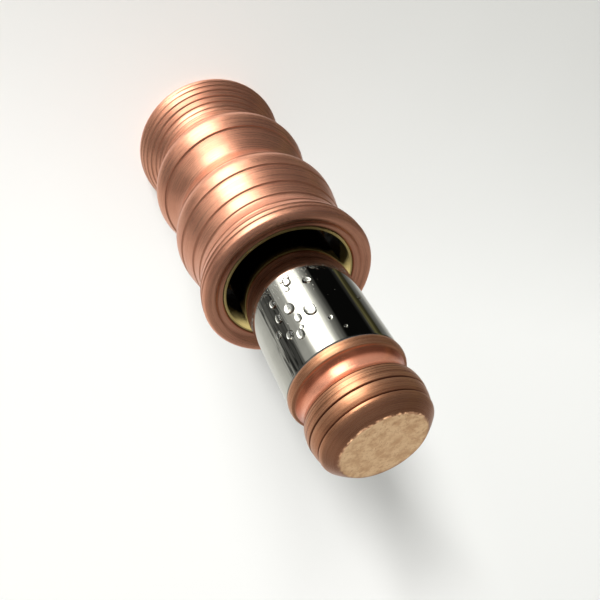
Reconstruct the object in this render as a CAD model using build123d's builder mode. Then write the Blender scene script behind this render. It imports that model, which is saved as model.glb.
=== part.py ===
"""Hand-pumped pocket smoker: a turned copper barrel with a chromed plunger and a turned copper end cap.

Millimetres, +Z up from the far end to the end cap, origin at the centre of the face that it stands on.
Pressing the end cap drives a piston down the brass liner. The air passes the outlet valve, goes through
the smouldering fuel in the screwed base and leaves by the hole in its centre. A spring lifts the plunger.
"""

import os

from build123d import *

os.makedirs("parts", exist_ok=True)

# ---------------------------------------------------------------- driving dimensions
tube_radius = 12.5           # the chromed tube is 25 mm stock
tube_inner_radius = 11.5
mouth_z = 65.0               # height of the barrel's mouth, where the liner ends
exposed_tube = 30.6          # chromed tube showing between the mouth and the end cap
cap_length = 16.6
stroke = 20.0                # travel of the plunger

fit_gap = 0.05               # a shaft in its hole
seat_gap = 0.02              # pieces that are fixed to each other
free_gap = 0.3               # pieces that only pass each other

bore_radius = 15.85          # of the barrel shell
liner_outer_radius = bore_radius - fit_gap
liner_inner_radius = 15.2

# heights of what is inside, from the base up
base_recess = 0.6            # the base sits this far inside the barrel's foot
base_plate_top = 3.0
base_seat_z = 4.0            # shoulder that the base gasket seals on
spigot_top = 12.0
thread_top = 8.0
floor_z = 15.5
liner_z = 17.6
floor_top = 19.5
piston_z = 40.7              # lowest face of the piston with the plunger out
flange_z = 43.7
flange_top = 45.7
guide_z = 47.0
guide_top = 51.5
plug_z = 72.0
cap_z = mouth_z + exposed_tube
cap_seal_thickness = 0.3
tube_top = cap_z - cap_seal_thickness


def finish(piece, name):
    """Label a finished piece and write it out."""
    piece.part.label = name
    export_step(piece.part, f"parts/{name}.step")


def band(inner, outer, low, high, mode=Mode.ADD):
    """A rectangle in the half-section, from radius inner to outer and from height low to high."""
    with Locations(((inner + outer) / 2, (low + high) / 2)):
        Rectangle(outer - inner, high - low, mode=mode)


def spin():
    """Turn the half-section into a solid round the barrel's axis."""
    revolve(axis=Axis.Z)


# ---------------------------------------------------------------- barrel shell
# The outline rises from the foot over three crests and two deep waists to a shallow neck and the lip.
foot_radius = 19.6
crest_radius = 20.65
waist_radius = 17.0
neck_radius = 18.75
crests_z = (1.9, 22.5, 43.25)
waists_z = (11.9, 32.8)
neck_z = 56.0
lip_z = mouth_z - 0.3

lip_top_radius = 19.2
lip_top_z = mouth_z + 1.35
dish_radius = 17.6           # where the lip's inner side meets the dish round the liner
dish_z = mouth_z + 0.55
ridge_radius = 16.3          # a thin ridge beside the liner's edge
well_radius = 17.5           # the base sits in this well in the foot

# Turned grooves, as depths below the mouth. Those at the front crowd together towards the lip.
front_grooves = (0.8, 2.5, 5.0, 8.9, 12.8, 18.4, 24.6)
middle_grooves = (38.2, 45.4)
grip_groove_start, grip_groove_step, grip_groove_count = 49.5, 1.55, 9
groove_radius, groove_depth = 0.6, 0.34
grip_groove_radius, grip_groove_depth = 0.5, 0.19


def height_on(curve, height):
    """The point of a rising curve at a given height, found by halving."""
    low, high = 0.0, 1.0
    for _ in range(40):
        middle = (low + high) / 2
        if (curve @ middle).Y < height:
            low = middle
        else:
            high = middle
    return curve @ low


def turned_groove(curve, below_mouth, radius, depth):
    """Cut one round-bottomed groove across the outline."""
    point = height_on(curve, mouth_z - below_mouth)
    with Locations((point.X + radius - depth, point.Y)):
        Circle(radius, mode=Mode.SUBTRACT)


with BuildPart() as barrel_shell:
    with BuildSketch(Plane.XZ):
        with BuildLine():
            wave = Spline(
                (foot_radius, 0),
                (crest_radius, crests_z[0]),
                (waist_radius, waists_z[0]),
                (crest_radius, crests_z[1]),
                (waist_radius, waists_z[1]),
                (crest_radius, crests_z[2]),
                (neck_radius, neck_z),
                (crest_radius, lip_z),
                tangents=[(1, 1)] + [(0, 1)] * 7,
            )
            ThreePointArc(wave @ 1, (crest_radius - 0.4, lip_z + 1.2), (lip_top_radius, lip_top_z))
            ThreePointArc((lip_top_radius, lip_top_z), (18.15, mouth_z + 1.1), (dish_radius, dish_z))
            ThreePointArc((dish_radius, dish_z), (17.0, mouth_z + 0.12), (ridge_radius, mouth_z + 0.05))
            Polyline(
                (ridge_radius, mouth_z + 0.05),
                (ridge_radius - 0.15, mouth_z + 0.15),
                (bore_radius, mouth_z - 0.4),
                (bore_radius, base_seat_z),
                (well_radius, base_seat_z),
                (well_radius, 0.25),
                (well_radius + 0.25, 0),
                (foot_radius, 0),
            )
        make_face()
        for depth_down in front_grooves + middle_grooves:
            turned_groove(wave, depth_down, groove_radius, groove_depth)
        for count in range(grip_groove_count):
            depth_down = grip_groove_start + count * grip_groove_step
            turned_groove(wave, depth_down, grip_groove_radius, grip_groove_depth)
    spin()
finish(barrel_shell, "barrel_shell")

# ---------------------------------------------------------------- brass liner, the pump's cylinder
circlip_thickness = 0.8
circlip_inner_radius = 14.3
circlip_outer_radius = 15.4
circlip_opening = 6.0
circlips_z = (guide_z - circlip_thickness, guide_top)

with BuildPart() as liner_tube:
    with BuildSketch(Plane.XZ):
        band(liner_inner_radius, liner_outer_radius, liner_z, mouth_z + 0.2)
        fillet(vertices().group_by(Axis.Z)[-1], 0.2)
        for low in circlips_z:
            high = low + circlip_thickness
            band(liner_inner_radius, circlip_outer_radius + fit_gap, low, high, Mode.SUBTRACT)
    spin()
finish(liner_tube, "liner_tube")

# ---------------------------------------------------------------- cylinder floor with its ports and seal
port_radius, port_circle, port_count = 1.1, 5.0, 6
pin_radius = 1.4
floor_hub_radius = liner_inner_radius - fit_gap
seal_wire_radius = 0.55
seal_z = (liner_z + floor_top) / 2

with BuildPart() as cylinder_floor:
    with BuildSketch(Plane.XZ):
        band(pin_radius + seat_gap, bore_radius - fit_gap, floor_z, liner_z)
        band(pin_radius + seat_gap, floor_hub_radius, liner_z, floor_top)
        seal_half = seal_wire_radius + seat_gap
        seal_inner_radius = floor_hub_radius - 2 * seal_half
        band(seal_inner_radius, bore_radius, seal_z - seal_half, seal_z + seal_half, Mode.SUBTRACT)
    spin()
    with BuildSketch(Plane.XY.offset(floor_z)):
        with PolarLocations(port_circle, port_count):
            Circle(port_radius)
    extrude(amount=floor_top - floor_z, mode=Mode.SUBTRACT)
finish(cylinder_floor, "cylinder_floor")

with BuildPart() as floor_seal:
    with BuildSketch(Plane.XZ):
        with Locations((floor_hub_radius - seal_wire_radius, seal_z)):
            Circle(seal_wire_radius)
    spin()
finish(floor_seal, "floor_seal")

# Slotted ring, screwed up under the floor
nut_z = 13.2
nut_inner_radius = 12.6
with BuildPart() as floor_nut:
    with BuildSketch(Plane.XZ):
        band(nut_inner_radius, bore_radius - fit_gap, nut_z, floor_z)
    spin()
    with BuildSketch(Plane.XY.offset(nut_z)):
        with PolarLocations(bore_radius, 4):
            Rectangle(4 * free_gap + bore_radius - nut_inner_radius, 2.4)
    extrude(amount=1.0, mode=Mode.SUBTRACT)
finish(floor_nut, "floor_nut")

# ---------------------------------------------------------------- outlet valve under the floor
valve_disc_radius = 7.5
valve_disc_thickness = 0.6
valve_lift = 1.0
pin_head_radius = 3.0
pin_head_z = 11.8
pin_head_top = 12.8
valve_spring_radius, valve_wire_radius, valve_spring_turns = 2.2, 0.2, 2

with BuildPart() as valve_disc:
    with BuildSketch(Plane.XZ):
        band(pin_radius + fit_gap, valve_disc_radius, floor_z - valve_disc_thickness, floor_z)
    spin()
finish(valve_disc, "valve_disc")

with BuildPart() as valve_pin:
    with BuildSketch(Plane.XZ):
        band(0, pin_radius, pin_head_z, floor_top - free_gap)
        band(0, pin_head_radius, pin_head_z, pin_head_top)
    spin()
    with BuildSketch(Plane.XY.offset(pin_head_z)):
        Rectangle(2 * pin_head_radius, 0.8)
    extrude(amount=0.45, mode=Mode.SUBTRACT)
finish(valve_pin, "valve_pin")


def coil_spring(radius, wire_radius, low, high, turns):
    """A round-wire coil between two heights."""
    length = high - low - 2 * wire_radius
    path = Helix(length / turns, length, radius, center=(0, 0, low + wire_radius))
    with BuildPart() as spring:
        with BuildLine():
            add(path)
        with BuildSketch(Plane(origin=path @ 0, z_dir=path % 0)):
            Circle(wire_radius)
        sweep(is_frenet=True)
    return spring


valve_seat_z = floor_z - valve_disc_thickness
finish(
    coil_spring(valve_spring_radius, valve_wire_radius, pin_head_top, valve_seat_z, valve_spring_turns),
    "valve_spring",
)

# ---------------------------------------------------------------- guide for the plunger
wiper_depth = 0.55
wiper_z = (49.4, 50.6)
vent_radius, vent_circle, vent_count = 0.5, 13.78, 12

with BuildPart() as guide_bush:
    with BuildSketch(Plane.XZ):
        band(tube_radius + fit_gap, liner_inner_radius - seat_gap, guide_z, guide_top)
        band(tube_radius, tube_radius + wiper_depth, *wiper_z, Mode.SUBTRACT)
    spin()
    with BuildSketch(Plane.XY.offset(guide_z)):
        with PolarLocations(vent_circle, vent_count):
            Circle(vent_radius)
    extrude(amount=guide_top - guide_z, mode=Mode.SUBTRACT)
    chamfer(edges().filter_by(GeomType.CIRCLE).group_by(Axis.Z)[-1].sort_by(SortBy.RADIUS)[-1], 0.3)
finish(guide_bush, "guide_bush")

with BuildPart() as guide_wiper:
    with BuildSketch(Plane.XZ):
        wiper_outer_radius = tube_radius + wiper_depth - seat_gap
        band(tube_radius + fit_gap, wiper_outer_radius, wiper_z[0] + seat_gap, wiper_z[1] - seat_gap)
    spin()
finish(guide_wiper, "guide_wiper")

# Two open snap rings, one under the guide and one over it
with BuildPart() as guide_circlips:
    with BuildSketch(Plane.XZ):
        for low in circlips_z:
            high = low + circlip_thickness
            band(circlip_inner_radius, circlip_outer_radius, low + seat_gap, high - seat_gap)
    spin()
    with BuildSketch(Plane.XY.offset(circlips_z[0])):
        with Locations((circlip_outer_radius, 0)):
            Rectangle(circlip_outer_radius, circlip_opening)
    extrude(amount=circlips_z[1] + circlip_thickness - circlips_z[0], mode=Mode.SUBTRACT)
finish(guide_circlips, "guide_circlips")

# ---------------------------------------------------------------- return spring, its washer and bump stop
bump_inner_radius, bump_outer_radius = 10.4, 14.2
spring_radius, spring_wire_radius, spring_turns = 8.3, 0.55, 12
washer_thickness = 1.2

with BuildPart() as bump_stop:
    with BuildSketch(Plane.XZ):
        band(bump_inner_radius, bump_outer_radius, floor_top, piston_z - stroke)
        fillet(vertices().group_by(Axis.Z)[-1], 0.4)
    spin()
finish(bump_stop, "bump_stop")

finish(
    coil_spring(spring_radius, spring_wire_radius, floor_top, plug_z - washer_thickness, spring_turns),
    "return_spring",
)

with BuildPart() as thrust_washer:
    with BuildSketch(Plane.XZ):
        band(7.2, tube_inner_radius - free_gap, plug_z - washer_thickness, plug_z)
    spin()
finish(thrust_washer, "thrust_washer")

# ---------------------------------------------------------------- piston
hub_radius = tube_inner_radius - seat_gap
hub_bore_radius = 9.4
nut_top = piston_z + 1.5
cup_lip = 0.7
cup_radius = liner_inner_radius - fit_gap

with BuildPart() as piston_head:
    with BuildSketch(Plane.XZ):
        band(hub_bore_radius, hub_radius, piston_z, flange_top + 9)
        band(hub_bore_radius, liner_inner_radius - free_gap, flange_z, flange_top)
    spin()
finish(piston_head, "piston_head")

# Cup seal: its lip closes on the way down and lets air past on the way up
with BuildPart() as piston_cup:
    with BuildSketch(Plane.XZ):
        band(hub_radius + seat_gap, cup_radius, nut_top, flange_z)
        band(cup_radius - cup_lip, cup_radius, piston_z + 0.2, nut_top)
    spin()
finish(piston_cup, "piston_cup")

with BuildPart() as cup_nut:
    with BuildSketch(Plane.XZ):
        band(hub_radius + seat_gap, cup_radius - cup_lip - free_gap, piston_z, nut_top)
    spin()
    with BuildSketch(Plane.XY.offset(piston_z)):
        with PolarLocations(cup_radius, 4):
            Rectangle(5.0, 2.0)
    extrude(amount=0.8, mode=Mode.SUBTRACT)
finish(cup_nut, "cup_nut")

with BuildPart() as top_buffer:
    with BuildSketch(Plane.XZ):
        band(tube_radius + 4 * fit_gap, circlip_inner_radius - free_gap, flange_top, guide_z)
        fillet(vertices().group_by(Axis.Z)[-1], 0.3)
    spin()
finish(top_buffer, "top_buffer")

# ---------------------------------------------------------------- chromed tube and its two plugs
plug_thickness = 3.0
insert_z = 88.0
screw_radius = 2.45
screw_hole_radius = 2.6

with BuildPart() as plunger_tube:
    with BuildSketch(Plane.XZ):
        band(tube_inner_radius, tube_radius, flange_top, tube_top)
    spin()
    chamfer(edges().group_by(Axis.Z)[-1].sort_by(SortBy.RADIUS)[-1], 0.15)
finish(plunger_tube, "plunger_tube")

with BuildPart() as tube_plug:
    with BuildSketch(Plane.XZ):
        band(0, hub_radius, plug_z, plug_z + plug_thickness)
        band(hub_radius - 0.4, tube_inner_radius, plug_z + 1.1, plug_z + 1.9, Mode.SUBTRACT)
    spin()
finish(tube_plug, "tube_plug")

with BuildPart() as cap_insert:
    with BuildSketch(Plane.XZ):
        band(screw_hole_radius, hub_radius, insert_z, tube_top)
    spin()
    chamfer(edges().group_by(Axis.Z)[0].sort_by(SortBy.RADIUS)[-1], 0.6)
finish(cap_insert, "cap_insert")

# ---------------------------------------------------------------- end cap and the screw that holds it
lock_washer_thickness = 1.0
screw_head_radius, screw_head_height = 4.25, 5.0
screw_head_top = insert_z - lock_washer_thickness
screw_tip_z = cap_z + 7.5
cap_hole_depth = 9.0

# The cap's outline, as radii with heights over its inner end: a collar, a hollow cove, a bead, a second
# bead that falls away towards the face, and a shoulder with a tight round where it starts, which slopes
# to the flat face. Fine dark grooves part the cove, the beads and the shoulder.
collar_radius = 12.75
collar_height = 2.05
cove_radius, cove_z = 11.05, 4.65
bead_radius, bead_z = 12.42, 8.85
second_bead_radius, second_bead_z = 12.15, 11.97
shoulder_round_radius, shoulder_round_z = 11.72, 14.06
shoulder_edge_radius, shoulder_edge_z = 11.45, 14.52
shoulder_radius, shoulder_z = 10.35, 15.62
face_radius = 9.15
groove_width = 0.45
step_radius, step_z = 11.95, 7.2
bead_groove_radius, bead_groove_z = 11.95, 10.6
shoulder_groove_radius, shoulder_groove_z = 11.45, 13.3

with BuildPart() as cap_lock_washer:
    with BuildSketch(Plane.XZ):
        band(screw_hole_radius, screw_head_radius + 0.4, screw_head_top, insert_z)
    spin()
    with BuildSketch(Plane.XY.offset(screw_head_top)):
        with Locations((screw_head_radius, 0)):
            Rectangle(2 * screw_head_radius - 2, 0.8)
    extrude(amount=lock_washer_thickness, mode=Mode.SUBTRACT)
finish(cap_lock_washer, "cap_lock_washer")

with BuildPart() as cap_screw:
    with BuildSketch(Plane.XZ):
        band(0, screw_head_radius, screw_head_top - screw_head_height, screw_head_top)
        band(0, screw_radius, screw_head_top, screw_tip_z)
    spin()
    with BuildSketch(Plane.XY.offset(screw_head_top - screw_head_height)):
        RegularPolygon(2.3, 6)
    extrude(amount=2.6, mode=Mode.SUBTRACT)
finish(cap_screw, "cap_screw")

with BuildPart() as cap_seal:
    with BuildSketch(Plane.XZ):
        band(9.0, tube_radius - 0.15, tube_top, cap_z)
    spin()
finish(cap_seal, "cap_seal")

with BuildPart() as end_cap:
    with BuildSketch(Plane.XZ):
        with BuildLine(Plane.XY.move(Location((0, cap_z, 0)))):
            Polyline((0, cap_length), (0, 0), (collar_radius - 0.2, 0), (collar_radius - 0.1, 0.12))
            ThreePointArc(
                (collar_radius - 0.1, 0.12),
                (collar_radius, collar_height / 2),
                (collar_radius - 0.25, collar_height),
            )
            Polyline(
                (collar_radius - 0.25, collar_height),
                (collar_radius - 0.45, collar_height + 0.15),
                (collar_radius - 0.8, collar_height + 0.25),
            )
            ThreePointArc(
                (collar_radius - 0.8, collar_height + 0.25),
                (cove_radius, cove_z),
                (step_radius + 0.1, step_z - 0.1),
            )
            Polyline(
                (step_radius + 0.1, step_z - 0.1),
                (step_radius, step_z),
                (step_radius + 0.2, step_z + 0.15),
            )
            ThreePointArc(
                (step_radius + 0.2, step_z + 0.15),
                (bead_radius, bead_z),
                (bead_groove_radius + 0.45, bead_groove_z - groove_width / 2),
            )
            Polyline(
                (bead_groove_radius + 0.45, bead_groove_z - groove_width / 2),
                (bead_groove_radius, bead_groove_z),
                (bead_groove_radius + 0.35, bead_groove_z + groove_width / 2),
            )
            ThreePointArc(
                (bead_groove_radius + 0.35, bead_groove_z + groove_width / 2),
                (second_bead_radius, second_bead_z),
                (shoulder_groove_radius + 0.33, shoulder_groove_z - groove_width / 2),
            )
            Polyline(
                (shoulder_groove_radius + 0.33, shoulder_groove_z - groove_width / 2),
                (shoulder_groove_radius, shoulder_groove_z),
                (shoulder_groove_radius + 0.35, shoulder_groove_z + groove_width / 2),
            )
            ThreePointArc(
                (shoulder_groove_radius + 0.35, shoulder_groove_z + groove_width / 2),
                (shoulder_round_radius, shoulder_round_z),
                (shoulder_edge_radius, shoulder_edge_z),
            )
            ThreePointArc(
                (shoulder_edge_radius, shoulder_edge_z),
                (shoulder_radius, shoulder_z),
                (face_radius, cap_length),
            )
            Line((face_radius, cap_length), (0, cap_length))
        make_face()
    spin()
    with BuildSketch(Plane.XY.offset(cap_z)):
        Circle(screw_radius + fit_gap)
    extrude(amount=cap_hole_depth, mode=Mode.SUBTRACT)
finish(end_cap, "end_cap")

# ---------------------------------------------------------------- screwed base with the fuel basket
plate_radius = well_radius - free_gap
spigot_radius = bore_radius - fit_gap
spigot_inner_radius = 14.6
outlet_radius = 3.0
spanner_circle, spanner_hole_radius, spanner_hole_depth = 12.0, 1.3, 1.4
sleeve_inner_radius = 14.05
sleeve_top = 11.6
basket_radius = 14.0
basket_wall = 0.5
basket_z = 3.6
screen_z = 3.05
screen_thickness = 0.5
screen_hole_radius, screen_pitch = 0.45, 1.5
screen_rings = 3

with BuildPart() as base_cap:
    with BuildSketch(Plane.XZ):
        band(outlet_radius, plate_radius, base_recess, base_plate_top)
        band(spigot_inner_radius, spigot_radius, base_plate_top, thread_top)
        band(spigot_inner_radius, spigot_radius - 0.4, thread_top, spigot_top)
        chamfer(vertices().group_by(Axis.Z)[0].sort_by(Axis.X)[-1], 0.4)
    spin()
    with BuildSketch(Plane.XY.offset(base_recess)):
        with PolarLocations(spanner_circle, 2):
            Circle(spanner_hole_radius)
    extrude(amount=spanner_hole_depth, mode=Mode.SUBTRACT)
    chamfer(edges().filter_by(GeomType.CIRCLE).group_by(Axis.Z)[0].group_by(SortBy.RADIUS)[0], 0.2)
finish(base_cap, "base_cap")

with BuildPart() as base_gasket:
    with BuildSketch(Plane.XZ):
        band(spigot_radius + free_gap, well_radius - free_gap, base_plate_top, base_seat_z)
    spin()
finish(base_gasket, "base_gasket")

with BuildPart() as heat_sleeve:
    with BuildSketch(Plane.XZ):
        band(sleeve_inner_radius, spigot_inner_radius - seat_gap, base_plate_top, sleeve_top)
    spin()
finish(heat_sleeve, "heat_sleeve")

with BuildPart() as fuel_basket:
    with BuildSketch(Plane.XZ):
        band(0, basket_radius, basket_z, basket_z + basket_wall)
        band(basket_radius - basket_wall, basket_radius, basket_z, sleeve_top)
    spin()
    with BuildSketch(Plane.XY.offset(basket_z)):
        for circle, count in ((3.6, 6), (7.2, 12), (10.8, 18)):
            with PolarLocations(circle, count):
                Circle(0.7)
    extrude(amount=basket_wall, mode=Mode.SUBTRACT)
finish(fuel_basket, "fuel_basket")

with BuildPart() as spark_screen:
    with BuildSketch(Plane.XY.offset(screen_z)):
        Circle(basket_radius)
        for ring in range(1, screen_rings + 1):
            with PolarLocations(ring * screen_pitch, 6 * ring):
                Circle(screen_hole_radius, mode=Mode.SUBTRACT)
    extrude(amount=screen_thickness)
finish(spark_screen, "spark_screen")
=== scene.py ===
"""The looks of the hand-pumped pocket smoker: turned copper, chrome, brass and a few drops of water.

Metres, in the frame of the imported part: it stands on its foot at Z = 0, with its end cap up.
"""
import math
import random

import bmesh
import bpy
from mathutils import Matrix, Vector


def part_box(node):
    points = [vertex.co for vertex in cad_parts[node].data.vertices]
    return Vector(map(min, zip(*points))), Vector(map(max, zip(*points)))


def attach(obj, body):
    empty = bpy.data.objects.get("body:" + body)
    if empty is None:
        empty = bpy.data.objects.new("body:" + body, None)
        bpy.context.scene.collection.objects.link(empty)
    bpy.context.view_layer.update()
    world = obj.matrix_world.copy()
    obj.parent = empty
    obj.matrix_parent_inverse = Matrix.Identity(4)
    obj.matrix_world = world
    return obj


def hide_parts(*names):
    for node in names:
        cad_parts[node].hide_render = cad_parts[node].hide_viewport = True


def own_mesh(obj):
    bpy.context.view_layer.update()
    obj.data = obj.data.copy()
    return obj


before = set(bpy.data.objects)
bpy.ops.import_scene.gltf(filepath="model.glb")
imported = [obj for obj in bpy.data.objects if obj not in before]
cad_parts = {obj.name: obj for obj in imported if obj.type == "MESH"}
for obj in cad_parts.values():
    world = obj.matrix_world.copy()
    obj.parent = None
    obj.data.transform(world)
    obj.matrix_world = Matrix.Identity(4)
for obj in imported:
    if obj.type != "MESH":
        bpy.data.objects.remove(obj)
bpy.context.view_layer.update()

MM = 0.001
random.seed(7)

mouth_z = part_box("liner_tube")[1].z
tube_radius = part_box("plunger_tube")[1].x
cap_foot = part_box("end_cap")[0].z
cap_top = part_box("end_cap")[1].z
face_radius = 9.15 * MM

# ---------------------------------------------------------------- wiring materials


class Nodes:
    """A node tree while it is wired up."""

    def __init__(self, tree):
        self.tree = tree

    def add(self, kind, inputs=(), **settings):
        """A node, with its settings and its inputs: each a constant or another node's output."""
        node = self.tree.nodes.new("ShaderNode" + kind)
        for key, value in settings.items():
            setattr(node, key, value)
        for socket, value in dict(inputs).items():
            self.put(value, node.inputs[socket])
        return node

    def put(self, value, target):
        """Links a node's output to an input, or sets the input to a constant."""
        if isinstance(value, bpy.types.NodeSocket):
            self.tree.links.new(value, target)
        else:
            target.default_value = value

    def math(self, operation, a, b=0.0):
        return self.add("Math", {0: a, 1: b}, operation=operation).outputs[0]

    def plus(self, a, b):
        return self.math("ADD", a, b)

    def times(self, a, b):
        return self.math("MULTIPLY", a, b)

    def gap(self, a, b):
        """How far a is from b, either way."""
        return self.math("ABSOLUTE", self.math("SUBTRACT", a, b))

    def xyz(self, vector):
        return self.add("SeparateXYZ", {0: vector}).outputs

    def fade(self, value, low, high, to_low=0.0, to_high=1.0):
        """The value carried smoothly from low..high to to_low..to_high."""
        inputs = {"Value": value, "From Min": low, "From Max": high, "To Min": to_low, "To Max": to_high}
        return self.add("MapRange", inputs, interpolation_type="SMOOTHSTEP").outputs[0]

    def band(self, value, start, full, ebb, end):
        """1 where the value is between full and ebb, fading to 0 at start and at end."""
        return self.times(self.fade(value, start, full), self.fade(value, end, ebb))

    def mix(self, factor, a, b, **settings):
        """Colour a, or with the factor at 1, colour b."""
        node = self.add("Mix", data_type="RGBA", **settings)
        for socket, value in (("Factor_Float", factor), ("A_Color", a), ("B_Color", b)):
            self.put(value, next(i for i in node.inputs if i.identifier == socket))
        return next(o for o in node.outputs if o.identifier == "Result_Color")

    def noise(self, vector, scale, detail=2.0, roughness=0.5):
        inputs = {"Vector": vector, "Scale": scale, "Detail": detail, "Roughness": roughness}
        return self.add("TexNoise", inputs).outputs["Fac"]


class Shader(Nodes):
    """A material while its surface is wired up."""

    def __init__(self, name, **constants):
        self.material = bpy.data.materials.new(name)
        self.material.use_nodes = True
        super().__init__(self.material.node_tree)
        self.surface = self.tree.nodes["Principled BSDF"]
        for socket, value in constants.items():
            self.surface.inputs[socket.replace("_", " ")].default_value = value

    def place(self):
        """Where a point is on its body, in metres."""
        return self.add("TexCoord").outputs["Object"]

    def radius(self, x, y):
        """A point's distance from the part's axis."""
        return self.math("SQRT", self.plus(self.times(x, x), self.times(y, y)))

    def round_the_axis(self, drift=0.0):
        """The point's radius and height, with a little of its place, so that a noise of it makes rings."""
        where = self.place()
        x, y, z = self.xyz(where)
        rings = self.add("CombineXYZ", {0: self.radius(x, y), 2: z}).outputs[0]
        if not drift:
            return rings
        part = self.add("VectorMath", {0: where, "Scale": drift}, operation="SCALE").outputs[0]
        return self.add("VectorMath", {0: rings, 1: part}, operation="ADD").outputs[0]

    def openness(self, reach):
        """1 on an open surface, and less in a groove or corner no wider than the reach."""
        return self.add("AmbientOcclusion", {"Distance": reach}, samples=4, only_local=True).outputs["AO"]

    def bump(self, height, distance, under=None):
        inputs = {"Height": height, "Distance": distance}
        if under is not None:
            inputs["Normal"] = under
        return self.add("Bump", inputs).outputs[0]

    def finish(self, colour, roughness, normal=None, metallic=None):
        """Gives the surface its colour, roughness and normal, and returns the material."""
        look = {"Base Color": colour, "Roughness": roughness, "Normal": normal, "Metallic": metallic}
        for socket, value in look.items():
            if value is not None:
                self.put(value, self.surface.inputs[socket])
        return self.material


def rgb(red, green, blue):
    return (red, green, blue, 1.0)


# ---------------------------------------------------------------- turned copper and brass


def turned_metal(name, light, dark, painted_groove_shade, smooth, rough, mark_depth=0.6e-6, ring_tone=0.0, metallic=1.0):
    """Lathe-turned metal: fine rings, a drifting tone, and painted shade darkening its grooves and corners.
    """
    s = Shader(name, Metallic=metallic)
    hair = s.noise(s.round_the_axis(), 30000.0, detail=0.0)
    rings = s.round_the_axis(drift=0.0015)
    fine = s.noise(rings, 6000.0, detail=3.0, roughness=0.65)
    coarse = s.noise(rings, 1400.0, detail=2.0)
    blotch = s.noise(s.place(), 90.0, detail=4.0, roughness=0.6)
    tone = s.plus(s.times(fine, 0.15), s.times(blotch, 0.85 - ring_tone))
    tone = s.plus(tone, s.times(coarse, ring_tone))
    colour = s.mix(s.fade(tone, 0.35, 0.65), dark, light)
    # Painted shade: darker in grooves and corners, by an occlusion mask.
    colour = s.mix(s.fade(s.openness(0.7 * MM), 0.35, 0.85), painted_groove_shade, colour)
    spread = s.plus(s.times(hair, 0.9), s.times(fine, 0.1))
    roughness = s.fade(spread, 0.38, 0.62, smooth, rough)
    height = s.plus(fine, s.times(coarse, 1.5))
    return s, colour, roughness, s.bump(height, mark_depth)


def above_cap_foot(*heights):
    """Heights in the part's frame, from heights in mm over the cap's foot, where the tube comes out."""
    return [cap_foot + height * MM for height in heights]


def polished_cove(s, colour, roughness, normal):
    """The cap's hollow is polished, and painted a little redder as a reflection of the copper round it,
    darkest by the collar; painted shade darkens it towards its end face.

    Painted shade darkens its grooves, and two lines scribed round its beads are dark.
    """
    height = s.xyz(s.place())[2]
    cove = s.band(height, *above_cap_foot(2.05, 2.75, 5.7, 6.7))
    # Painted shade: darker brown towards the end face.
    shoulder = s.fade(height, *above_cap_foot(13.9, 14.9), to_high=0.6)
    first_line, second_line = above_cap_foot(7.98, 9.2)
    from_line = s.math("MINIMUM", s.gap(height, first_line), s.gap(height, second_line))
    scribed = s.fade(from_line, 0.12 * MM, 0.05 * MM, to_high=0.7)
    # Painted reflection: the hollow redder, darkest red by the collar, as copper mirrored in copper.
    painted_red_reflection = s.mix(s.fade(height, *above_cap_foot(2.9, 4.6)), rgb(0.60, 0.17, 0.09), rgb(0.80, 0.33, 0.21))
    colour = s.mix(s.times(cove, 0.85), colour, painted_red_reflection)
    colour = s.mix(shoulder, colour, rgb(0.38, 0.17, 0.10))
    # Painted shade in the grooves, by an occlusion mask.
    colour = s.mix(s.fade(s.openness(0.4 * MM), 0.50, 0.92), rgb(0.08, 0.028, 0.016), colour)
    colour = s.mix(scribed, colour, rgb(0.12, 0.045, 0.025))
    outside_cove = s.times(s.math("SUBTRACT", 1.0, cove), roughness)
    hazy = s.times(cove, s.fade(height, *above_cap_foot(2.9, 4.2)))
    metallic = s.fade(hazy, 0.0, 1.0, 0.95, 0.85)
    return colour, s.plus(outside_cove, s.times(cove, 0.21)), normal, metallic


def worn_face(s, colour, roughness, normal, metallic):
    """The cap's flat end, rubbed dull and tan up to an uneven edge."""
    where = s.place()
    x, y, z = s.xyz(where)
    ragged = s.noise(where, 1000.0, detail=5.0, roughness=0.7)
    edge = s.plus(s.radius(x, y), s.times(s.math("SUBTRACT", ragged, 0.5), 1.7 * MM))
    inside = s.fade(edge, face_radius + 0.40 * MM, face_radius - 0.45 * MM)
    on_top = s.fade(z, cap_top - 0.35 * MM, cap_top - 0.1 * MM)
    worn = s.times(inside, on_top)
    mottle = s.noise(where, 420.0, detail=5.0, roughness=0.62)
    fleck = s.noise(where, 1500.0, detail=3.0, roughness=0.7)
    swirl = s.gap(s.noise(where, 560.0, detail=3.0, roughness=0.55), 0.5)
    wrinkle = s.fade(swirl, 0.0, 0.035)
    tan = s.mix(s.fade(mottle, 0.36, 0.60), rgb(0.46, 0.28, 0.145), rgb(0.60, 0.405, 0.23))
    tan = s.mix(s.fade(fleck, 0.56, 0.68, to_high=0.6), tan, rgb(0.33, 0.175, 0.08))
    tan = s.mix(s.fade(wrinkle, 0.0, 1.0, 0.35, 0.0), tan, rgb(0.36, 0.20, 0.10))
    relief = s.plus(mottle, s.times(wrinkle, 0.35))
    pitted = s.bump(s.times(relief, worn), 60e-6, under=normal)
    duller = s.times(metallic, s.fade(worn, 0.0, 1.0, 1.0, 0.21))
    return s.mix(worn, colour, tan), s.plus(roughness, s.times(worn, 0.3)), pitted, duller


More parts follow.
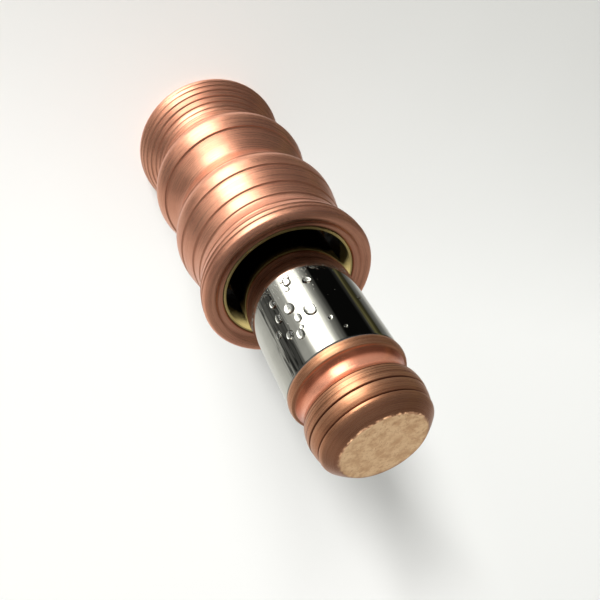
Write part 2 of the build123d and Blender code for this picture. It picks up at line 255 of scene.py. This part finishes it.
def soot_and_shade_below(s, colour, roughness, normal):
    """The liner's wall, matt, and black from just under the mouth with soot and painted shade: the black
    starts higher on the near side, where shade falls, and lower on its far side.
    """
    where = s.place()
    _, y, z = s.xyz(where)
    depth = s.math("SUBTRACT", mouth_z, z)
    smear = s.times(s.noise(where, 500.0, detail=3.0), 1.2 * MM)
    # Painted shade: the black starts nearer the mouth on the -Y side, which is in shade, and deeper on the
    # lit +Y side.
    unblackened_depth = s.fade(y, -6.0 * MM, 4.0 * MM, 0.5 * MM, 5.5 * MM)
    soot = s.fade(s.math("SUBTRACT", s.plus(depth, smear), unblackened_depth), 0.0, 1.6 * MM)
    wall = s.fade(depth, -0.1 * MM, 0.2 * MM)
    colour = s.mix(wall, colour, rgb(0.40, 0.315, 0.125))
    colour = s.mix(soot, colour, rgb(0.010, 0.008, 0.005))
    return colour, roughness, normal, s.fade(wall, 0.0, 1.0, 0.75, 0.0)


def barrel_copper():
    light, dark, painted_groove_shade = rgb(0.88, 0.425, 0.28), rgb(0.80, 0.365, 0.24), rgb(0.36, 0.12, 0.07)
    s, *look = turned_metal("barrel_copper", light, dark, painted_groove_shade, smooth=0.21, rough=0.50, metallic=0.965)
    return s.finish(*look)


def cap_copper():
    light, dark, painted_groove_shade = rgb(0.65, 0.33, 0.19), rgb(0.46, 0.198, 0.105), rgb(0.26, 0.085, 0.045)
    s, *look = turned_metal(
        "cap_copper", light, dark, painted_groove_shade, smooth=0.24, rough=0.50, mark_depth=3.0e-6, ring_tone=0.45
    )
    look = polished_cove(s, *look)
    return s.finish(*worn_face(s, *look))


def liner_brass():
    light, dark, painted_groove_shade = rgb(0.43, 0.335, 0.125), rgb(0.36, 0.27, 0.10), rgb(0.22, 0.165, 0.06)
    s, *look = turned_metal("liner_brass", light, dark, painted_groove_shade, smooth=0.15, rough=0.40)
    return s.finish(*soot_and_shade_below(s, *look))


# ---------------------------------------------------------------- the other materials


def chrome():
    """Mirror chrome with faint wipe marks along it, and a brown film of smoke where it leaves the barrel."""
    s = Shader("tube_chrome", Metallic=1.0)
    where = s.place()
    height = s.xyz(where)[2]
    along = s.add("Mapping", {"Vector": where, "Scale": (900.0, 900.0, 40.0)}).outputs[0]
    streak = s.noise(along, 1.0, detail=3.0)
    film = s.noise(where, 160.0, detail=5.0, roughness=0.6)
    colour = s.mix(s.fade(film, 0.35, 0.7), rgb(0.60, 0.60, 0.555), rgb(0.54, 0.54, 0.50))
    smoke_edge = s.plus(height, s.times(film, 3.0 * MM))
    smoky = s.fade(smoke_edge, mouth_z + 10.5 * MM, mouth_z + 8.3 * MM)
    colour = s.mix(smoky, colour, rgb(0.33, 0.29, 0.255))
    roughness = s.fade(s.times(streak, film), 0.12, 0.42, 0.018, 0.07)
    return s.finish(colour, roughness, s.bump(streak, 0.25e-6))


def plain_metal(name, colour, worn, smooth, rough):
    """Machined or drawn metal inside the barrel."""
    s = Shader(name, Metallic=1.0)
    fine = s.noise(s.round_the_axis(drift=0.02), 4000.0, detail=2.0)
    blotch = s.noise(s.place(), 500.0, detail=4.0)
    tone = s.mix(s.fade(blotch, 0.35, 0.7), colour, worn)
    return s.finish(tone, s.fade(blotch, 0.3, 0.7, smooth, rough), s.bump(fine, 1.0e-6))


def soft_solid(name, colour, worn, roughness, grain, depth, sheen=0.0):
    """Rubber, leather, felt or fibre: a grain, and a second tone in patches."""
    s = Shader(name, Sheen_Weight=sheen)
    where = s.place()
    fine = s.noise(where, grain, detail=5.0, roughness=0.7)
    blotch = s.noise(where, grain / 9.0, detail=3.0)
    tone = s.mix(s.fade(blotch, 0.35, 0.65), colour, worn)
    return s.finish(tone, s.fade(fine, 0.3, 0.7, roughness - 0.1, roughness), s.bump(fine, depth))


def scorched():
    """Steel that the smouldering fuel has browned and blued."""
    s = Shader("scorched_steel", Metallic=1.0)
    where = s.place()
    heat = s.noise(where, 170.0, detail=4.0, roughness=0.6)
    tint = s.mix(s.fade(heat, 0.32, 0.52), rgb(0.10, 0.11, 0.17), rgb(0.21, 0.15, 0.09))
    tint = s.mix(s.fade(heat, 0.52, 0.7), tint, rgb(0.06, 0.05, 0.05))
    soot = s.noise(where, 900.0, detail=5.0)
    return s.finish(tint, s.fade(soot, 0.3, 0.7, 0.35, 0.75), s.bump(soot, 20e-6))


def water():
    """Clear water, very slightly wavy."""
    s = Shader("water", Transmission_Weight=1.0, IOR=1.333)
    ripple = s.noise(s.place(), 900.0, detail=1.0)
    return s.finish(rgb(0.98, 0.99, 1.0), s.fade(ripple, 0.3, 0.7, 0.0, 0.02), s.bump(ripple, 2e-6))


def paper():
    """The floor's paper: pale, with painted shade making it greyer towards the upper right of the picture
    and a little darker to its right.
    """
    s = Shader("floor")
    where = s.place()
    x, y, _ = s.xyz(where)
    # Painted shade: greyer across the picture towards its upper right, and a little darker on the -X side,
    # to the right.
    across_picture = s.plus(s.times(x, 1.2), y)
    mottle = s.times(s.noise(where, 30.0, detail=4.0), 0.06)
    tone = s.plus(s.fade(across_picture, -0.21, 0.12), mottle)
    pale = s.mix(s.fade(x, -0.06, 0.06), rgb(0.86, 0.865, 0.84), rgb(0.93, 0.93, 0.905))
    painted_shade_grey = rgb(0.565, 0.565, 0.54)
    return s.finish(s.mix(tone, painted_shade_grey, pale), 0.6)


def plain_name(material):
    """A material's name without the number that Blender adds to a second one of the same name."""
    return material.name.split(".")[0]


every_material = (
    barrel_copper(),
    cap_copper(),
    liner_brass(),
    chrome(),
    plain_metal("machined_brass", rgb(0.70, 0.50, 0.20), rgb(0.52, 0.34, 0.13), smooth=0.18, rough=0.36),
    plain_metal("bronze", rgb(0.50, 0.28, 0.12), rgb(0.30, 0.15, 0.06), smooth=0.22, rough=0.42),
    plain_metal("piston_aluminium", rgb(0.72, 0.73, 0.75), rgb(0.56, 0.57, 0.58), smooth=0.25, rough=0.42),
    plain_metal("steel", rgb(0.52, 0.52, 0.53), rgb(0.36, 0.36, 0.37), smooth=0.20, rough=0.40),
    scorched(),
    soft_solid(
        "seal_rubber", rgb(0.018, 0.018, 0.018), rgb(0.035, 0.034, 0.032),
        roughness=0.72, grain=2500.0, depth=8e-6,
    ),
    soft_solid(
        "cup_leather", rgb(0.17, 0.075, 0.028), rgb(0.085, 0.036, 0.014),
        roughness=0.55, grain=1400.0, depth=40e-6,
    ),
    soft_solid(
        "wiper_felt", rgb(0.19, 0.17, 0.14), rgb(0.11, 0.10, 0.085),
        roughness=0.95, grain=3500.0, depth=60e-6, sheen=0.4,
    ),
    soft_solid(
        "heat_fibre", rgb(0.50, 0.45, 0.36), rgb(0.33, 0.26, 0.18),
        roughness=0.92, grain=2000.0, depth=50e-6, sheen=0.2,
    ),
)
materials = {plain_name(material): material for material in every_material}

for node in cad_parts.values():
    for slot in node.material_slots:
        slot.material = materials[plain_name(slot.material)]

# ---------------------------------------------------------------- adding objects


def in_scene(name, data):
    """A new object of a mesh, lamp or camera."""
    made = bpy.data.objects.new(name, data)
    bpy.context.scene.collection.objects.link(made)
    return made


def smooth_solid(name, points, faces, material):
    """A smooth, closed object: points that fall together are joined, and its faces are turned outwards."""
    mesh = bpy.data.meshes.new(name)
    mesh.from_pydata(points, [], faces)
    skin = bmesh.new()
    skin.from_mesh(mesh)
    bmesh.ops.remove_doubles(skin, verts=skin.verts, dist=1e-7)
    bmesh.ops.recalc_face_normals(skin, faces=skin.faces)
    skin.to_mesh(mesh)
    skin.free()
    mesh.shade_smooth()
    mesh.materials.append(material)
    return in_scene(name, mesh)


def strips(first, rows, around_it):
    """The faces of a skin whose rows of points are rings of the same size, with its last ring capped."""
    faces = []
    for row in range(rows - 1):
        low = first + row * around_it
        high = low + around_it
        for step in range(around_it):
            beside = (step + 1) % around_it
            faces.append((low + step, high + step, high + beside, low + beside))
    last = first + (rows - 1) * around_it
    faces.append([last + step for step in reversed(range(around_it))])
    return faces


# ---------------------------------------------------------------- springs, wound in place of the CAD coils


def coil(node, wire_radius, turns, closed_turns):
    """A compression spring in place of the CAD coil, with its end turns wound closed."""
    low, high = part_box(node)
    radius, length = high.x - wire_radius, high.z - low.z
    closed_pitch = 2.05 * wire_radius
    pitch = (length - 2 * wire_radius - 2 * closed_turns * closed_pitch) / (turns - 2 * closed_turns)
    steps_round, wire_sides = 44, 14
    points = []
    for step in range(steps_round * turns + 1):
        turn = step / steps_round
        open_turns = min(max(turn - closed_turns, 0), turns - 2 * closed_turns)
        centre_z = low.z + wire_radius + open_turns * pitch + (turn - open_turns) * closed_pitch
        bearing = math.tau * turn
        for side in range(wire_sides):
            roll = math.tau * side / wire_sides
            reach = radius + wire_radius * math.cos(roll)
            z = centre_z + wire_radius * math.sin(roll)
            points.append((reach * math.cos(bearing), reach * math.sin(bearing), z))
    faces = strips(0, steps_round * turns + 1, wire_sides)
    faces.append(list(range(wire_sides)))
    spring = smooth_solid(node + "_coil", points, faces, materials["steel"])
    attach(spring, "barrel")
    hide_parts(node)
    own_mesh(spring)


coil("return_spring", 0.55 * MM, turns=12, closed_turns=1.0)
coil("valve_spring", 0.2 * MM, turns=2, closed_turns=0.25)

# ---------------------------------------------------------------- water on the chromed tube
# A drop's angle in degrees from -Y towards +X, then its height over the mouth, its width, and its length
# down the tube, in mm.
drops = [
    (24, 13.4, 1.8, 2.3),
    (12, 17.3, 2.2, 2.9),
    (9, 20.6, 1.7, 2.1),
    (-4, 20.4, 2.7, 3.1),
    (26, 17.4, 1.5, 2.6),
    (23, 22.6, 1.8, 2.2),
    (14, 24.3, 1.9, 2.4),
    (10, 22.9, 1.0, 1.0),
    (-15, 12.8, 2.1, 1.6),
    (2, 11.0, 1.8, 2.3),
    (0, 9.7, 1.5, 1.2),
    (6, 9.9, 1.1, 1.0),
    (5, 12.6, 1.2, 1.3),
    (-16, 24.2, 1.1, 1.2),
    (-24, 27.3, 0.9, 0.8),
    (34, 20.3, 1.4, 2.2),
    (-59, 18.9, 1.3, 0.9),
    (151, 16.5, 1.9, 2.3),
    (163, 21.0, 1.4, 1.6),
    (118, 23.5, 1.6, 1.9),
]
# Spray stands in a ragged line round the tube, and thinly over it on the front.
wet_line, wet_line_scatter = 9.3, 0.45
line_spray, front_spray = 280, 100
for _ in range(line_spray):
    size = random.uniform(0.12, 0.32)
    drops.append((random.uniform(-70, 75), random.gauss(wet_line, wet_line_scatter), size, size))
for _ in range(front_spray):
    size = random.uniform(0.10, 0.30)
    drops.append((random.gauss(4, 16), wet_line + abs(random.gauss(0, 4)), size, size))


def drop(points, faces, angle, height, width, length):
    """Adds a low dome of water on the tube, a little uneven and fuller at its lower end. Sizes are in mm."""
    around_it, rise_share = (28, 0.28) if width > 0.5 else (10, 0.34)
    sunk, fuller_below = 0.02, 0.35
    rings = around_it // 3
    turned = random.uniform(0, math.tau)
    uneven, slight = random.uniform(0.03, 0.09), random.uniform(0.02, 0.05)
    first = len(points)
    for ring in range(rings + 1):
        spread, rise = math.sin(math.pi / 2 * ring / rings), math.cos(math.pi / 2 * ring / rings)
        for step in range(around_it):
            bearing = math.tau * step / around_it
            across, along = 0.5 * spread * math.cos(bearing), 0.5 * spread * math.sin(bearing)
            waves = uneven * math.sin(2 * bearing + turned) + slight * math.sin(3 * bearing)
            full = 1 - fuller_below * along + waves
            radius = tube_radius + (rise_share * rise * min(width, length) - sunk) * MM
            turn = math.radians(angle) + across * width * full * MM / radius
            z = mouth_z + (height + along * length * full) * MM
            points.append((radius * math.sin(turn), -radius * math.cos(turn), z))
    faces.extend(strips(first, rings + 1, around_it))


points, faces = [], []
for numbers in drops:
    drop(points, faces, *numbers)
water_drops = smooth_solid("water_drops", points, faces, water())
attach(water_drops, "plunger")

# ---------------------------------------------------------------- floor
half_side = 4.0
corners = [(x * half_side, y * half_side, 0.0) for x, y in ((-1, -1), (1, -1), (1, 1), (-1, 1))]
floor_mesh = bpy.data.meshes.new("floor")
floor_mesh.from_pydata(corners, [], [(0, 1, 2, 3)])
floor_mesh.materials.append(paper())
floor = in_scene("floor", floor_mesh)
floor.visible_glossy = False
floor.visible_transmission = False
floor.visible_shadow = False

# ---------------------------------------------------------------- soft light all round
# The azimuth runs in degrees from -Y towards +X, which is to the left in the picture. A tall soft window
# stands in front, with a dark screen to its right and pale walls behind. It is dim above, and the suns
# light the floor.
window_light = 5.0
low_front_light = 2.25
twig_light = 0.015
upper_light = 0.34
upper_front_light = 0.06
overhead_light = 0.07
underneath_light = 0.75
# An azimuth and the light of the walls there.
around = (
    (-180, 0.80), (-152, 0.60), (-136, 0.24), (-124, 0.12), (-116, 0.03), (-110, 0.05), (-104, 0.16),
    (-99, 0.03), (-90, 0.004), (-46, 0.004), (-38, 0.14), (-31, 0.28), (-25, 0.7), (-19, 2.0),
    (-11, 5.0), (14, 5.0), (19, 1.7), (24, 0.66), (31, 0.47), (44, 0.46), (49, 0.14),
    (57, 0.06), (67, 0.11), (76, 0.14), (83, 0.46), (100, 0.62), (130, 0.86), (180, 0.80),
)


def warm(light):
    """A light's colour, as a share of the window's strength, which the whole sky has."""
    share = light / window_light
    return rgb(share, 0.99 * share, 0.93 * share)


world = bpy.data.worlds.new("studio")
bpy.context.scene.world = world
world.use_nodes = True
world.node_tree.nodes.clear()
sky = Nodes(world.node_tree)
direction = sky.add("TexCoord").outputs["Generated"]
east, north, height = sky.xyz(direction)
azimuth = sky.math("ARCTAN2", east, sky.times(north, -1.0))


def sector(*degrees):
    """A band of azimuths, from where it starts and is full to where it ebbs and ends."""
    return sky.band(azimuth, *(math.radians(angle) for angle in degrees))


# The walls' edges waver a little, so that their images in the tube aren't straight.
waver = sky.times(sky.math("SUBTRACT", sky.noise(direction, 9.0, detail=2.0), 0.5), 0.22)
wavy = sky.plus(azimuth, waver)
turn = sky.add("MapRange", {"Value": wavy, "From Min": -math.pi, "From Max": math.pi}).outputs[0]
ramp = sky.add("ValToRGB", {0: turn})
stops = ramp.color_ramp.elements
stops.remove(stops[-1])
for index, (degrees, light) in enumerate(around):
    position = (degrees + 180) / 360
    stop = stops[0] if index == 0 else stops.new(position)
    stop.position = position
    stop.color = warm(light)

# Low in front, it is bright on both sides of the window as well.
low_front = sky.times(sector(-41, -29, 24, 34), sky.fade(height, -0.69, -0.76))
wide = sky.mix(low_front, ramp.outputs[0], warm(low_front_light), blend_type="LIGHTEN")
# Dark twigs stand to the window's left, and there is an ochre wall far to its right.
stretched = sky.add("CombineXYZ", {0: sky.times(azimuth, 2.4), 1: sky.times(height, 3.4)}).outputs[0]
crossing = sky.gap(sky.noise(stretched, 2.2, detail=3.0), 0.5)
twigs = sky.times(sector(36, 46, 84, 98), sky.fade(crossing, 0.035, 0.012))
wide = sky.mix(sky.times(twigs, 0.9), wide, warm(twig_light))
wide = sky.mix(sector(-121, -116, -104, -98), wide, rgb(1.0, 0.92, 0.42), blend_type="MULTIPLY")
# It is plain below the walls, and dim over them.
low = sky.mix(sky.fade(height, -0.93, -0.84), warm(underneath_light), wide)
in_front = sky.fade(north, -0.55, -0.85)
upper = sky.mix(in_front, warm(upper_light), warm(upper_front_light))
upper = sky.mix(1.0, low, upper, blend_type="DARKEN")
walls = sky.mix(sky.fade(height, -0.12, 0.16), low, upper)
walls = sky.mix(sky.fade(height, 0.60, 0.92), walls, warm(overhead_light))
lit = sky.add("Background", {"Color": walls, "Strength": window_light}).outputs[0]
plain = sky.add("Background", {"Color": rgb(0.9, 0.9, 0.87)}).outputs[0]
seen = sky.add("LightPath").outputs["Is Camera Ray"]
both = sky.add("MixShader", {0: seen, 1: lit, 2: plain}).outputs[0]
sky.add("OutputWorld", {"Surface": both})


def sun(name, energy, toward, width):
    """Light that falls in one direction, from a source some degrees wide that isn't seen in the metal."""
    data = bpy.data.lights.new(name, "SUN")
    data.energy = energy
    data.angle = math.radians(width)
    made = in_scene(name, data)
    made.rotation_euler = Vector(toward).to_track_quat("-Z", "Y").to_euler()
    made.visible_glossy = False


sun("key", 9.0, toward=(0.040, 0.980, -0.190), width=9)
sun("side_key", 4.7, toward=(0.170, 0.961, -0.215), width=18)
sun("fill", 0.40, toward=(0.0, 0.1, -1.0), width=100)

# ---------------------------------------------------------------- camera, above the end cap
right = Vector((-0.86509, 0.33153, 0.37644))
up = Vector((-0.50161, -0.57284, -0.64826))
in_front_of_axis, over_mouth = 110.75 * MM, 103.54 * MM
lens = bpy.data.cameras.new("camera")
lens.lens, lens.sensor_width = 39.6, 36.0
lens.clip_start, lens.clip_end = 0.005, 20.0
camera = in_scene("camera", lens)
axes = Matrix((right, up, right.cross(up))).transposed().to_4x4()
camera.matrix_world = Matrix.Translation((0.0, -in_front_of_axis, mouth_z + over_mouth)) @ axes
bpy.context.scene.camera = camera
bpy.context.scene.view_settings.view_transform = "Standard"
